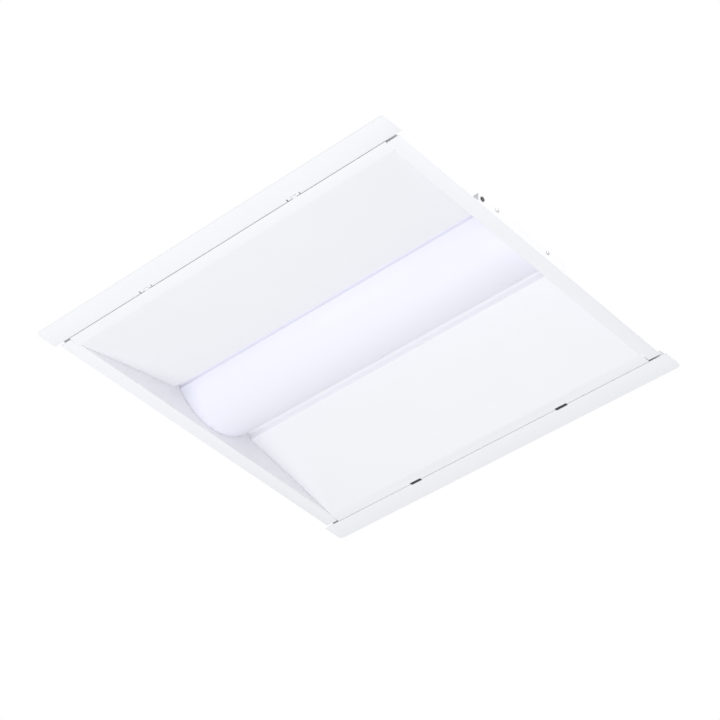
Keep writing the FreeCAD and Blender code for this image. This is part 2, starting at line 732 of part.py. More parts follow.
def wiring_cover():
    """The hinged lid over the wiring space, with turned-down lips and a middle knuckle."""
    body = new_body("cover_lid")
    reach = "(housing_width/2 + cover_play + tray_sheet)"
    end = "(housing_half + cover_play + tray_sheet)"
    outer = draw(body, "cover_outer", "XY_Plane", [
        box_loop("cover_start", f"-{reach}", end, reach)], lift="cover_floor - cover_lip")
    pad(body, outer, "cover_lip + tray_sheet")
    inner = draw(body, "cover_inner", "XY_Plane", [
        box_loop("cover_start - 1", f"-({reach} - tray_sheet)",
                 f"{end} - tray_sheet", f"{reach} - tray_sheet")],
        lift="cover_floor - cover_lip")
    cut_depth(body, inner, "cover_lip", back=True)
    hole = draw(body, "cover_hole", "XY_Plane", circles=[("cover_screw_line", "0", "screw_hole")],
                lift="cover_floor + 2")
    cut_depth(body, hole, "tray_sheet + 3")
    roll = rod("cover_roll", ("cover_pin_place", "-cover_knuckle_half", "housing_top + pin_rise"),
               "knuckle_radius", "2*cover_knuckle_half", "y")
    finger = block("cover_finger", ("cover_pin_place", "-cover_knuckle_half", "cover_floor"),
                   ("cover_start - cover_pin_place + 1", "2*cover_knuckle_half", "tray_sheet"))
    solid = fuse("cover_solid", [body, roll, finger])
    bore = rod("cover_bore", ("cover_pin_place", "-housing_width", "housing_top + pin_rise"),
               "pin_radius + pin_play", "2*housing_width", "y")
    keep(cut("wiring_cover", solid, bore), "wiring_cover")
    pieces = []
    far_end = "(cover_knuckle_half + side_play + cover_knuckle_length)"
    for name, side in SIDES.items():
        low = "cover_knuckle_half + side_play" if side > 0 else f"-{far_end}"
        roll = rod(f"lid_roll_{name}", ("cover_pin_place", low, "housing_top + pin_rise"),
                   "knuckle_radius", "cover_knuckle_length", "y")
        leaf = block(f"lid_leaf_{name}", ("cover_pin_place - leaf_length", low, "housing_top"),
                     ("leaf_length - pin_radius/2", "cover_knuckle_length", "knuckle_wall"))
        hole = rod(f"lid_bore_{name}", ("cover_pin_place", "-housing_width", "housing_top + pin_rise"),
                   "pin_radius + pin_play", "2*housing_width", "y")
        pieces.append(cut(f"lid_knuckle_{name}", fuse(f"lid_solid_{name}", [roll, leaf]), hole))
    group("cover_knuckles", pieces)
    keep(rod("cover_pin", ("cover_pin_place", f"-{far_end}", "housing_top + pin_rise"),
             "pin_radius", f"2*{far_end}", "y"), "cover_pin")
    keep(screw("wiring_cover_screw", "cover_screw_line", "0", "cover_floor + tray_sheet", "-z",
               "sheet_screw_length"),
         "wiring_cover_screw")


def driver():
    """The driver: a steel can with softened edges on a tabbed base plate."""
    body = new_body("driver")
    half = "driver_length/2"
    base = draw(body, "driver_base", "XY_Plane", [
        box_loop(f"driver_place - {half} - driver_tab", "-driver_width/2",
                 f"driver_place + {half} + driver_tab", "driver_width/2")],
        circles=[(x, y, "screw_hole") for x, y in driver_screw_places()], lift="tray_height")
    pad(body, base, "driver_tab_sheet")
    can = draw(body, "driver_can", "YZ_Plane", [[
        ("-driver_width/2", "tray_height + driver_tab_sheet/2"),
        ("driver_width/2", "tray_height + driver_tab_sheet/2"),
        ("driver_width/2", "tray_height + driver_height - driver_edge"),
        ("driver_width/2 - driver_edge", "tray_height + driver_height"),
        ("-driver_width/2 + driver_edge", "tray_height + driver_height"),
        ("-driver_width/2", "tray_height + driver_height - driver_edge")]],
        lift=f"driver_place - {half}")
    pad(body, can, "driver_length")
    return keep(body, "driver")


def terminal_block():
    """A three-pole terminal block with a lead entry on each side of each pole."""
    body = new_body("terminal_block")
    outline = draw(body, "terminal_outline", "XY_Plane", [
        box_loop("terminal_place", "-terminal_width/2",
                 "terminal_place + terminal_length", "terminal_width/2")],
        lift="tray_height")
    pad(body, outline, "terminal_height")
    poles = [(f"{pole}*terminal_pitch", "tray_height + terminal_height/2", "terminal_entry")
             for pole in (-1, 0, 1)]
    entries = draw(body, "terminal_entries", "YZ_Plane", circles=poles, lift="terminal_place")
    cut_depth(body, entries, "terminal_length/3", back=True)
    outlets = draw(body, "terminal_outlets", "YZ_Plane", circles=poles,
                   lift="terminal_place + terminal_length")
    cut_depth(body, outlets, "terminal_length/3")
    return keep(body, "terminal_block")


def rounded_route(points):
    """Straight runs joined by tangent arcs, each arc as large as its two runs allow."""
    spots = [FreeCAD.Vector(*(number(text) for text in point)) for point in points]
    edges, last = [], spots[0]
    for before, corner, after in zip(spots, spots[1:], spots[2:]):
        come, go = (before - corner).normalize(), (after - corner).normalize()
        trim = 0.45 * min((before - corner).Length, (after - corner).Length)
        half_turn = (math.pi - come.getAngle(go)) / 2
        radius = trim / math.tan(half_turn)
        middle_way = (come + go).normalize()
        centre = corner + middle_way * (radius / math.cos(half_turn))
        start, end = corner + come * trim, corner + go * trim
        edges.append(Part.LineSegment(last, start).toShape())
        edges.append(Part.Arc(start, centre - middle_way * radius, end).toShape())
        last = end
    edges.append(Part.LineSegment(last, spots[-1]).toShape())
    return Part.Wire(edges)


def lead_shape(points, radius):
    """A round lead along a rounded route, checked against its section times its length."""
    route = rounded_route(points)
    way = route.Edges[0].tangentAt(route.Edges[0].FirstParameter)
    ring = Part.Wire([Part.makeCircle(number(radius), route.Vertexes[0].Point, way)])
    shape = route.makePipeShell([ring], True, False)
    expected = math.pi * number(radius) ** 2 * route.Length
    if abs(shape.Volume / expected - 1) > 0.02:
        raise RuntimeError("a lead's tube doesn't fill its route")
    return shape


def leads(label, routes, radius):
    """The leads that share one node."""
    feature = doc.addObject("Part::Feature", label)
    feature.Shape = Part.makeCompound([lead_shape(points, radius) for points in routes])
    return keep(feature, label)


def wiring():
    """The leads inside: terminals to driver, and driver through the grommet to each board."""
    middle = "tray_height + terminal_height/2"
    end = "driver_place + driver_length/2 + fit_gap"
    leads("supply_leads", [[
        ("terminal_place + 4", f"{pole}*terminal_pitch", middle),
        ("terminal_place - 16", f"{pole}*terminal_pitch", middle),
        ("partition_place + 2", f"{pole}*terminal_pitch*0.7", f"{middle} + 3"),
        (f"{end} + 16", f"{pole}*terminal_pitch*0.5", f"{middle} + 1"),
        (end, f"{pole}*terminal_pitch*0.5", f"{middle} + 1")] for pole in (-1, 0, 1)], "supply_lead")
    start = "driver_place - driver_length/2 - fit_gap"
    driver_middle = "tray_height + driver_height/2"
    plug_end = "-board_length/2 + plug_inset + plug_length"
    plug_middle = "board_under - plug_height/2"
    for name, side in SIDES.items():
        routes = []
        for wire in (-0.5, 0.5):
            across = f"{side}*(lead_inset*5 + {wire}*lead_spread)"
            down = f"lead_hole_place + lead_inset + {wire}*lead_pitch"
            plug = f"{side}*(plug_line + {wire}*lead_pitch)"
            routes.append([
                (start, across, driver_middle),
                (f"{start} - lead_bend", across, driver_middle),
                (down, f"{side}*lead_inset", f"{driver_middle} - ({wire} + 0.5)*lead_spread"),
                (down, f"{side}*lead_inset", "tray_under - lead_spread"),
                (f"lead_hole_place - lead_bend + {wire}*lead_pitch",
                 f"{side}*(lead_turn + {wire}*lead_pitch)", f"{plug_middle} - lead_sag"),
                (f"{plug_end} + lead_bend", plug, plug_middle),
                (plug_end, plug, plug_middle)])
        leads("board_leads_" + name, routes, "board_lead")


def grommets():
    """The rubber ring in the tray's lead hole and the black plug in the near end plate."""
    stem = rod("grommet_stem", ("lead_hole_place", "0", "tray_under - grommet_brim/2"), "lead_hole",
               "tray_sheet + grommet_brim")
    brims = [rod(f"grommet_brim{i}", ("lead_hole_place", "0", z), "lead_hole + grommet_brim",
                 "grommet_brim/2") for i, z in enumerate(("tray_under - grommet_brim/2", "tray_height"))]
    bore = rod("grommet_bore", ("lead_hole_place", "0", "tray_under - 5"), "grommet_bore", "10 + tray_sheet")
    keep(cut("tray_grommet", fuse("grommet_solid", [stem] + brims), bore), "tray_grommet")
    spot = ("-end_plug_reach", "end_plug_rise")
    stem = rod("plug_stem", ("plate_inner - 2.5", *spot), "end_plug_hole - fit_gap/2",
               "panel_sheet + 2.5", "x")
    brim = rod("plug_brim", ("plate_outer", *spot), "end_plug_hole + end_plug_brim",
               "2*end_plug_brim", "x")
    keep(fuse("end_plug", [stem, brim]), "end_plug")


def check(things):
    """Stop on any object that failed, and on any sub-part without a valid solid."""
    doc.recompute()
    for thing in doc.Objects:
        if {"Invalid", "Error"} & set(thing.State):
            raise RuntimeError(f"{thing.Label} is {thing.State}")
    for thing in things:
        shape = thing.Shape
        if shape.isNull() or not shape.isValid() or not shape.Solids:
            raise RuntimeError(f"{thing.Label} has no valid solid")


fill_sheet()
rail("hinge_rail", -1, "hinge_notch", "hinge_notch_depth", "hinge_pitch")
rail("latch_rail", 1, "slot_length", "slot_depth", "latch_pitch")
for name, side in SIDES.items():
    seal("light_seal_" + name, side)
    reflector(name, side)
for end, sign in ENDS.items():
    hinge(end, sign)
    end_plate(end, sign)
    latch(end, sign)
tray()
lens()
boards()
screws()
housing()
wiring_cover()
driver()
terminal_block()
wiring()
grommets()
check(nodes)

os.makedirs("parts", exist_ok=True)
for node in nodes:
    node.Shape.exportStep(f"parts/{node.Label}.step")
print(len(nodes), "sub-parts written")
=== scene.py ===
"""Looks of a recessed troffer light: finishes, dressed sub-assemblies, a studio and the photograph's camera.

Lengths are metres in the part's own frame: X along the rails, Y across them, Z up into the ceiling.
"""

from __future__ import annotations

import json
import logging
import math
from abc import ABC, abstractmethod
from dataclasses import dataclass, field
from enum import Enum
from typing import Any, Protocol

import bmesh
import bpy
from mathutils import Matrix, Vector

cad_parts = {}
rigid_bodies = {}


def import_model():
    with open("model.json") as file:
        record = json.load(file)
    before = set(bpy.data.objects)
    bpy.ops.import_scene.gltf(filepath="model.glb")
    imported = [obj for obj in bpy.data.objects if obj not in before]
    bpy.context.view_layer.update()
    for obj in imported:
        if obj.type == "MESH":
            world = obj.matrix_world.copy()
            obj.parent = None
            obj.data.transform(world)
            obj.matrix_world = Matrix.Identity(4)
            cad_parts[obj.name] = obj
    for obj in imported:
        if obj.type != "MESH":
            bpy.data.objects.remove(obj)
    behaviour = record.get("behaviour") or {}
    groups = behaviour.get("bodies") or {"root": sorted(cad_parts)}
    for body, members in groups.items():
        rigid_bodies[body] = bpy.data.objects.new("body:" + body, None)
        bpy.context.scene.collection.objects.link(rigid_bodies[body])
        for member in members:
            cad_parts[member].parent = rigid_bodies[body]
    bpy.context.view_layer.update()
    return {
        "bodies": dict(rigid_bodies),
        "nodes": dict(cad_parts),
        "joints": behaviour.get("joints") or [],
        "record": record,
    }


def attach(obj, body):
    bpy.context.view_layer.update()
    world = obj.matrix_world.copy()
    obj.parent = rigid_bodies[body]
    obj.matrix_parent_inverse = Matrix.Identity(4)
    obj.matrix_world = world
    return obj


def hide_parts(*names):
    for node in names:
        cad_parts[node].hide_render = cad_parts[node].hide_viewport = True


LOG = logging.getLogger("scene")
MM = 0.001
SMOOTH_BELOW = 32.0  # degrees between two faces that shade as one
SAME_SPOT = 2e-6  # metres within which two vertices are one
ON_AXIS = 1e-9  # metres from the axis within which a turned ring is a point
ROUND = 0.5  # bevel profile of a circular arc
BOARD_LENGTH = 520.0  # millimetres
CHIPS = 24  # on each board

Point = tuple[float, float, float]
Pair = tuple[float, float]


class Grain(Enum):
    """What the small-scale surface of a finish looks like."""

    ORANGE_PEEL = "orange_peel"
    SPANGLE = "spangle"
    DRAWN = "drawn"
    FROST = "frost"
    PORES = "pores"
    MOULDED = "moulded"


# Octaves of detail in the noise of each grain; spangle has cells instead.
FINE_DETAIL = {
    Grain.ORANGE_PEEL: 2.0,
    Grain.DRAWN: 2.0,
    Grain.FROST: 8.0,
    Grain.PORES: 6.0,
    Grain.MOULDED: 4.0,
}


class Facing(Enum):
    """The way that a screw's head faces: the axis it lies along, and its sense."""

    UP = (2, 1.0)
    DOWN = (2, -1.0)
    NEAR = (0, 1.0)
    FAR = (0, -1.0)

    def turn(self) -> Matrix:
        """The rotation that sends +Z this way.

        Returns:
            The rotation.
        """
        angle, axis = {
            Facing.UP: (0.0, "X"),
            Facing.DOWN: (math.pi, "X"),
            Facing.NEAR: (math.pi / 2, "Y"),
            Facing.FAR: (-math.pi / 2, "Y"),
        }[self]
        return Matrix.Rotation(angle, 4, axis)


@dataclass(frozen=True)
class Finish:
    """A procedural finish.

    Args:
        name: The record's material slot, or the lead's colour, and the material's name.
        colour: Linear base colour.
        second: The colour that the variation blends towards.
        roughness: Lowest and highest roughness over the surface.
        metallic: Metal weight.
        grain: The small-scale surface.
        grain_density: Grains per metre.
        bump: Height of the grain in metres.
        coat: Weight of a clear coat.
        coat_roughness: Roughness of the clear coat.
        bump_strength: How much of the grain's height the light sees.
        broad_share: Density of the broad variation, as a share of the grain's.
        broad_detail: Octaves of detail in the broad variation.
        drawn_stretch: Scale of drawn metal's grain along X, Y and Z.
    """

    name: str
    colour: Point
    second: Point
    roughness: Pair
    metallic: float
    grain: Grain
    grain_density: float
    bump: float
    coat: float = 0.0
    coat_roughness: float = 0.25
    bump_strength: float = 0.6
    broad_share: float = 0.02
    broad_detail: float = 3.0
    drawn_stretch: Point = (0.04, 1.0, 1.0)

    def build(self) -> bpy.types.Material:
        """Make the material.

        Returns:
            The node material, with the grain in its colour, roughness and normal.
        """
        material = bpy.data.materials.new(self.name)
        material.use_nodes = True
        tree = material.node_tree
        shader = tree.nodes["Principled BSDF"]
        shader.inputs["Metallic"].default_value = self.metallic
        shader.inputs["Coat Weight"].default_value = self.coat
        shader.inputs["Coat Roughness"].default_value = self.coat_roughness
        place = tree.nodes.new("ShaderNodeTexCoord").outputs["Object"]
        broad = self._noise(tree, place, self.grain_density * self.broad_share, self.broad_detail)
        fine = self._grain(tree, place)
        self._colour(tree, shader, broad, fine)
        spread = tree.nodes.new("ShaderNodeMapRange")
        spread.inputs["To Min"].default_value, spread.inputs["To Max"].default_value = self.roughness
        tree.links.new(broad, spread.inputs["Value"])
        tree.links.new(spread.outputs["Result"], shader.inputs["Roughness"])
        raised = tree.nodes.new("ShaderNodeBump")
        raised.inputs["Distance"].default_value = self.bump
        raised.inputs["Strength"].default_value = self.bump_strength
        tree.links.new(fine, raised.inputs["Height"])
        tree.links.new(raised.outputs["Normal"], shader.inputs["Normal"])
        return material

    def _colour(self, tree: bpy.types.NodeTree, shader: bpy.types.Node, broad: bpy.types.NodeSocket,
                fine: bpy.types.NodeSocket) -> None:
        """Blend the two colours by both textures.

        Args:
            tree: The material's tree.
            shader: The surface shader.
            broad: The broad texture's value.
            fine: The fine texture's value.
        """
        blend = tree.nodes.new("ShaderNodeMix")
        blend.data_type = "RGBA"
        blend.inputs["A"].default_value = (*self.colour, 1.0)
        blend.inputs["B"].default_value = (*self.second, 1.0)
        mixed = tree.nodes.new("ShaderNodeMath")
        mixed.operation = "MULTIPLY"
        tree.links.new(broad, mixed.inputs[0])
        tree.links.new(fine, mixed.inputs[1])
        tree.links.new(mixed.outputs[0], blend.inputs["Factor"])
        tree.links.new(blend.outputs["Result"], shader.inputs["Base Color"])

    @staticmethod
    def _noise(tree: bpy.types.NodeTree, place: bpy.types.NodeSocket, scale: float,
               detail: float) -> bpy.types.NodeSocket:
        """Add a noise texture.

        Args:
            tree: The material's tree.
            place: The coordinates.
            scale: Grains per metre.
            detail: Octaves of detail.

        Returns:
            The texture's value.
        """
        noise = tree.nodes.new("ShaderNodeTexNoise")
        noise.inputs["Scale"].default_value = scale
        noise.inputs["Detail"].default_value = detail
        tree.links.new(place, noise.inputs["Vector"])
        return noise.outputs[0]

    def _grain(self, tree: bpy.types.NodeTree, place: bpy.types.NodeSocket) -> bpy.types.NodeSocket:
        """Add the fine texture, by the kind of grain.

        Args:
            tree: The material's tree.
            place: The coordinates.

        Returns:
            The texture's value.
        """
        if self.grain is Grain.SPANGLE:
            cell = tree.nodes.new("ShaderNodeTexVoronoi")
            cell.inputs["Scale"].default_value = self.grain_density
            tree.links.new(place, cell.inputs["Vector"])
            grey = tree.nodes.new("ShaderNodeRGBToBW")
            tree.links.new(cell.outputs["Color"], grey.inputs[0])
            return grey.outputs[0]
        if self.grain is Grain.DRAWN:
            stretch = tree.nodes.new("ShaderNodeMapping")
            stretch.inputs["Scale"].default_value = self.drawn_stretch
            tree.links.new(place, stretch.inputs["Vector"])
            place = stretch.outputs[0]
        return self._noise(tree, place, self.grain_density, FINE_DETAIL[self.grain])


def insulation(name: str, colour: Point, second: Point) -> Finish:
    """The finish of a lead's insulation.

    Args:
        name: The finish's name.
        colour: Linear base colour.
        second: The colour that the variation blends towards.

    Returns:
        The finish.
    """
    return Finish(name, colour, second, roughness=(0.28, 0.38), metallic=0.0, grain=Grain.MOULDED,
                  grain_density=900, bump=1e-5)


# Each row: name, colour, second colour, roughness, metallic, grain, grains per metre, bump and, if any, coat.
FINISHES = (
    Finish("white_steel", (0.90, 0.908, 0.945), (0.87, 0.878, 0.918), (0.40, 0.50), 0.0,
           Grain.ORANGE_PEEL, 900, 2e-5, 0.12),
    Finish("lens_frost", (0.885, 0.89, 0.985), (0.86, 0.865, 0.965), (0.34, 0.44), 0.0,
           Grain.FROST, 1600, 1e-5),
    Finish("galvanised_steel", (0.62, 0.64, 0.66), (0.46, 0.48, 0.51), (0.28, 0.46), 1.0,
           Grain.SPANGLE, 160, 1e-5),
    Finish("zinc_hardware", (0.70, 0.70, 0.68), (0.56, 0.57, 0.58), (0.25, 0.40), 1.0,
           Grain.DRAWN, 1500, 1e-5),
    Finish("seal_foam", (0.50, 0.50, 0.51), (0.40, 0.40, 0.41), (0.85, 0.95), 0.0,
           Grain.PORES, 1800, 2e-4),
    Finish("black_rubber", (0.075, 0.075, 0.077), (0.095, 0.095, 0.098), (0.55, 0.70), 0.0,
           Grain.MOULDED, 1200, 2e-5),
    Finish("black_zinc", (0.03, 0.03, 0.034), (0.05, 0.05, 0.056), (0.40, 0.55), 0.0,
           Grain.DRAWN, 1200, 1e-5),
    Finish("board_white", (0.84, 0.86, 0.84), (0.78, 0.80, 0.78), (0.22, 0.32), 0.0,
           Grain.MOULDED, 700, 1e-5, 0.3),
    Finish("chip_phosphor", (0.88, 0.72, 0.22), (0.80, 0.62, 0.16), (0.25, 0.35), 0.0,
           Grain.FROST, 3000, 1e-5, 0.4),
    Finish("connector_white", (0.78, 0.76, 0.70), (0.72, 0.70, 0.64), (0.40, 0.52), 0.0,
           Grain.MOULDED, 1100, 1e-5),
    Finish("driver_case", (0.80, 0.80, 0.79), (0.74, 0.74, 0.73), (0.40, 0.52), 0.0,
           Grain.ORANGE_PEEL, 800, 2e-5),
    Finish("terminal_grey", (0.42, 0.43, 0.44), (0.36, 0.37, 0.38), (0.38, 0.50), 0.0,
           Grain.MOULDED, 1100, 1e-5),
    Finish("earth_green", (0.03, 0.20, 0.05), (0.02, 0.15, 0.04), (0.30, 0.42), 0.6,
           Grain.DRAWN, 1500, 1e-5),
    insulation("lead_insulation", (0.10, 0.11, 0.14), (0.07, 0.08, 0.11)),
)
SUPPLY_COLOURS = (
    insulation("lead_brown", (0.19, 0.075, 0.030), (0.15, 0.060, 0.024)),
    insulation("lead_earth", (0.10, 0.42, 0.09), (0.07, 0.34, 0.06)),
    insulation("lead_blue", (0.045, 0.15, 0.46), (0.035, 0.12, 0.38)),
)
BOARD_COLOURS = (
    insulation("lead_red", (0.50, 0.035, 0.030), (0.42, 0.028, 0.024)),
    insulation("lead_black", (0.028, 0.028, 0.030), (0.040, 0.040, 0.043)),
)


@dataclass
class Workshop:
    """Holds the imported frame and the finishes, and puts finished pieces in the scene.

    Args:
        materials: The finishes' materials by name, made with the workshop.
    """

    frame: dict[str, Any]
    materials: dict[str, bpy.types.Material] = field(init=False)

    def __post_init__(self) -> None:
        """Make every finish."""
        every = FINISHES + SUPPLY_COLOURS + BOARD_COLOURS
        self.materials = {finish.name: finish.build() for finish in every}

    def slot_of(self, node: str) -> str:
        """Look up a node's material slot.

        Args:
            node: The CAD node.

        Returns:
            The record's slot for it.
        """
        rows = self.frame["record"]["subparts"]
        return next(row["material_slot"] for row in rows if row["node"] == node)

    def body_of(self, node: str) -> str:
        """Look up the body that a node belongs to.

        Args:
            node: The CAD node.

        Returns:
            The body's name.
        """
        bodies = self.frame["record"]["behaviour"]["bodies"]
        return next(body for body, nodes in bodies.items() if node in nodes)

    def merged_copy(self, node: str) -> bmesh.types.BMesh:
        """Copy a node's mesh and join its loose triangles.

        Args:
            node: The CAD node.

        Returns:
            The copy, which the caller frees.
        """
        form = bmesh.new()
        form.from_mesh(self.frame["nodes"][node].data)
        bmesh.ops.remove_doubles(form, verts=form.verts, dist=SAME_SPOT)
        return form

    def finish_piece(self, mesh: bpy.types.Mesh, node: str) -> bpy.types.Object:
        """Put a mesh in the scene in place of a CAD node.

        Args:
            mesh: The mesh, in the part's frame.
            node: The node that it stands for.

        Returns:
            The piece, riding the node's body in the node's finish.
        """
        piece = bpy.data.objects.new(node + "_dressed", mesh)
        bpy.context.scene.collection.objects.link(piece)
        slot = self.slot_of(node)
        if not mesh.materials:
            mesh.materials.append(self.materials[slot])
        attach(piece, self.body_of(node))
        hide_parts(node)
        return piece

    def paint_frame(self) -> None:
        """Give every CAD mesh its node's finish."""
        for node, thing in self.frame["nodes"].items():
            thing.data.materials.clear()
            thing.data.materials.append(self.materials[self.slot_of(node)])


def smooth(mesh: bpy.types.Mesh) -> bpy.types.Mesh:
    """Shade a mesh smooth, except over its real corners.

    Args:
        mesh: The mesh.

    Returns:
        The same mesh.
    """
    for polygon in mesh.polygons:
        polygon.use_smooth = True
    mesh.set_sharp_from_angle(angle=math.radians(SMOOTH_BELOW))
    return mesh


def mesh_from(form: bmesh.types.BMesh, name: str) -> bpy.types.Mesh:
    """Turn a bmesh into a shaded mesh with outward normals, and free it.

    Args:
        form: The bmesh.
        name: The mesh's name.

    Returns:
        The mesh.
    """
    bmesh.ops.recalc_face_normals(form, faces=form.faces)
    mesh = bpy.data.meshes.new(name)
    form.to_mesh(mesh)
    form.free()
    return smooth(mesh)


def shells_of(form: bmesh.types.BMesh) -> list[set[bmesh.types.BMVert]]:
    """Split a form into its loose shells, one for each solid of its node.

    Args:
        form: The form.

    Returns:
        The vertices of each shell.
    """
    left, shells = set(form.verts), []
    while left:
        shell, edge_of = set(), [left.pop()]
        while edge_of:
            vert = edge_of.pop()
            shell.add(vert)
            near = {edge.other_vert(vert) for edge in vert.link_edges} & left
            left -= near
            edge_of += near
        shells.append(shell)
    return shells


class Dressed(Protocol):
    """Anything that can stand in the scene for one CAD node."""

    node: str

    def build(self, shop: Workshop) -> bpy.types.Object:
        """Make the piece.

        Args:
            shop: The workshop.

        Returns:
            The piece.
        """


@dataclass
class SoftenedPart:
    """A CAD part redrawn with real edge radii, as folded sheet and moulded plastic have.

    Args:
        node: The CAD node that it stands for.
        radius: Radius of the sharp edges.
        fold: Radius of the long shallow folds along X, or 0 for none.
        segments: Facets over each radius.
        flat_within: Facets that meet at less than this many degrees are one face.
        sharp_above: Edges sharper than this many degrees are rounded.
        shortest_fold: A fold is at least this long.
        fold_angles: Least and greatest turn of a fold, in degrees.
        fold_way: A fold's direction has at least this share of X.
        most_corners: A face with more corners than this is split into triangles.
    """

    node: str
    radius: float
    fold: float = 0.0
    segments: int = 3
    flat_within: float = 0.6
    sharp_above: float = 28.0
    shortest_fold: float = 0.3
    fold_angles: Pair = (2.0, 75.0)
    fold_way: float = 0.999
    most_corners: int = 4

    def build(self, shop: Workshop) -> bpy.types.Object:
        """Copy the node's form, merge its facets into whole faces and round its edges.

        Args:
            shop: The workshop.

        Returns:
            The piece.
        """
        form = shop.merged_copy(self.node)
        bmesh.ops.dissolve_limit(form, angle_limit=math.radians(self.flat_within), verts=form.verts,
                                 edges=form.edges)
        if self.fold:
            self._round(form, [edge for edge in form.edges if self._is_fold(edge)], self.fold)
        sharp = [edge for edge in form.edges if len(edge.link_faces) == 2
                 and edge.calc_face_angle(0.0) > math.radians(self.sharp_above)]
        self._round(form, sharp, self.radius)
        many_sided = [face for face in form.faces if len(face.verts) > self.most_corners]
        bmesh.ops.triangulate(form, faces=many_sided)
        return shop.finish_piece(mesh_from(form, self.node + "_soft"), self.node)

    def _round(self, form: bmesh.types.BMesh, edges: list[bmesh.types.BMEdge], radius: float) -> None:
        """Round some edges.

        Args:
            form: The form that they are in.
            edges: The edges, or none.
            radius: Their radius.
        """
        if edges:
            bmesh.ops.bevel(form, geom=edges, offset=radius, offset_type="OFFSET", segments=self.segments,
                            profile=ROUND, affect="EDGES", clamp_overlap=True)

    def _is_fold(self, edge: bmesh.types.BMEdge) -> bool:
        """Tell whether an edge is a long shallow fold along X.

        Args:
            edge: The edge.

        Returns:
            True for such a fold.
        """
        if len(edge.link_faces) != 2 or edge.calc_length() < self.shortest_fold:
            return False
        way = (edge.verts[1].co - edge.verts[0].co).normalized()
        low, high = (math.radians(angle) for angle in self.fold_angles)
        return abs(way.x) > self.fold_way and low < edge.calc_face_angle(0.0) < high


@dataclass(frozen=True)
class Layer:
    """One mesh to repeat and the material that it takes.

    Args:
        mesh: The mesh.
        material: Its material.
    """

    mesh: bpy.types.Mesh
    material: bpy.types.Material


@dataclass
class Repeater:
    """A geometry-nodes group that repeats layers, either down a line or at given places.

    Args:
        name: The group's name.
        layers: What is repeated.
        in_line: True for an even line, given by the inputs Count, Pitch and Start. False for one at each
            vertex of the base.
    """

    name: str
    layers: list[Layer]
    in_line: bool

    def build(self) -> bpy.types.NodeTree:
        """Make the group.

        Returns:
            The group, which ends in real geometry with its materials set.
        """
        group = bpy.data.node_groups.new(self.name, "GeometryNodeTree")
        face = group.interface
        face.new_socket("Geometry", in_out="INPUT", socket_type="NodeSocketGeometry")
        if self.in_line:
            face.new_socket("Count", in_out="INPUT", socket_type="NodeSocketInt")
            face.new_socket("Pitch", in_out="INPUT", socket_type="NodeSocketVector")
            face.new_socket("Start", in_out="INPUT", socket_type="NodeSocketVector")
        face.new_socket("Geometry", in_out="OUTPUT", socket_type="NodeSocketGeometry")
        given = group.nodes.new("NodeGroupInput")
        points = given.outputs["Geometry"]
        if self.in_line:
            line = group.nodes.new("GeometryNodeMeshLine")
            line.mode = "OFFSET"
            for socket, name in (("Count", "Count"), ("Offset", "Pitch"), ("Start Location", "Start")):
                group.links.new(given.outputs[name], line.inputs[socket])
            points = line.outputs[0]
        joined = group.nodes.new("GeometryNodeJoinGeometry")
        for layer in self.layers:
            group.links.new(self._layer(group, points, layer), joined.inputs[0])
        group.links.new(joined.outputs[0], group.nodes.new("NodeGroupOutput").inputs[0])
        return group

    @staticmethod
    def _layer(group: bpy.types.NodeTree, points: bpy.types.NodeSocket,
               layer: Layer) -> bpy.types.NodeSocket:
        """Repeat one layer, make it real and give it its material.

        Args:
            group: The group.
            points: Where the layer goes.
            layer: The layer.

        Returns:
            The layer's geometry.
        """
        pattern = bpy.data.objects.new(layer.mesh.name + "_pattern", layer.mesh)
        info = group.nodes.new("GeometryNodeObjectInfo")
        info.inputs["Object"].default_value = pattern
        repeat = group.nodes.new("GeometryNodeInstanceOnPoints")
        group.links.new(points, repeat.inputs["Points"])
        group.links.new(info.outputs["Geometry"], repeat.inputs["Instance"])
        real = group.nodes.new("GeometryNodeRealizeInstances")
        group.links.new(repeat.outputs[0], real.inputs[0])
        paint = group.nodes.new("GeometryNodeSetMaterial")
        paint.inputs["Material"].default_value = layer.material
        group.links.new(real.outputs[0], paint.inputs["Geometry"])
        return paint.outputs[0]

    def run(self, places: list[Point], **inputs: int | Point) -> bpy.types.Mesh:
        """Evaluate the group once.

        Args:
            places: Vertices of the base.
            inputs: Values of the group's named inputs.

        Returns:
            A plain mesh.
        """
        base = bpy.data.meshes.new(self.name + "_base")
        base.from_pydata(places, [], [])
        holder = bpy.data.objects.new(self.name + "_holder", base)
        bpy.context.scene.collection.objects.link(holder)
        group = self.build()
        modifier = holder.modifiers.new(self.name, "NODES")
        modifier.node_group = group
        sockets = {item.name: item.identifier for item in group.interface.items_tree
                   if item.in_out == "INPUT"}
        for name, value in inputs.items():
            modifier[sockets[name]] = value
        graph = bpy.context.evaluated_depsgraph_get()
        graph.update()
        mesh = bpy.data.meshes.new_from_object(holder.evaluated_get(graph), depsgraph=graph)
        mesh.name = self.name
        holder.modifiers.remove(modifier)
        bpy.data.objects.remove(holder)
        return smooth(mesh)


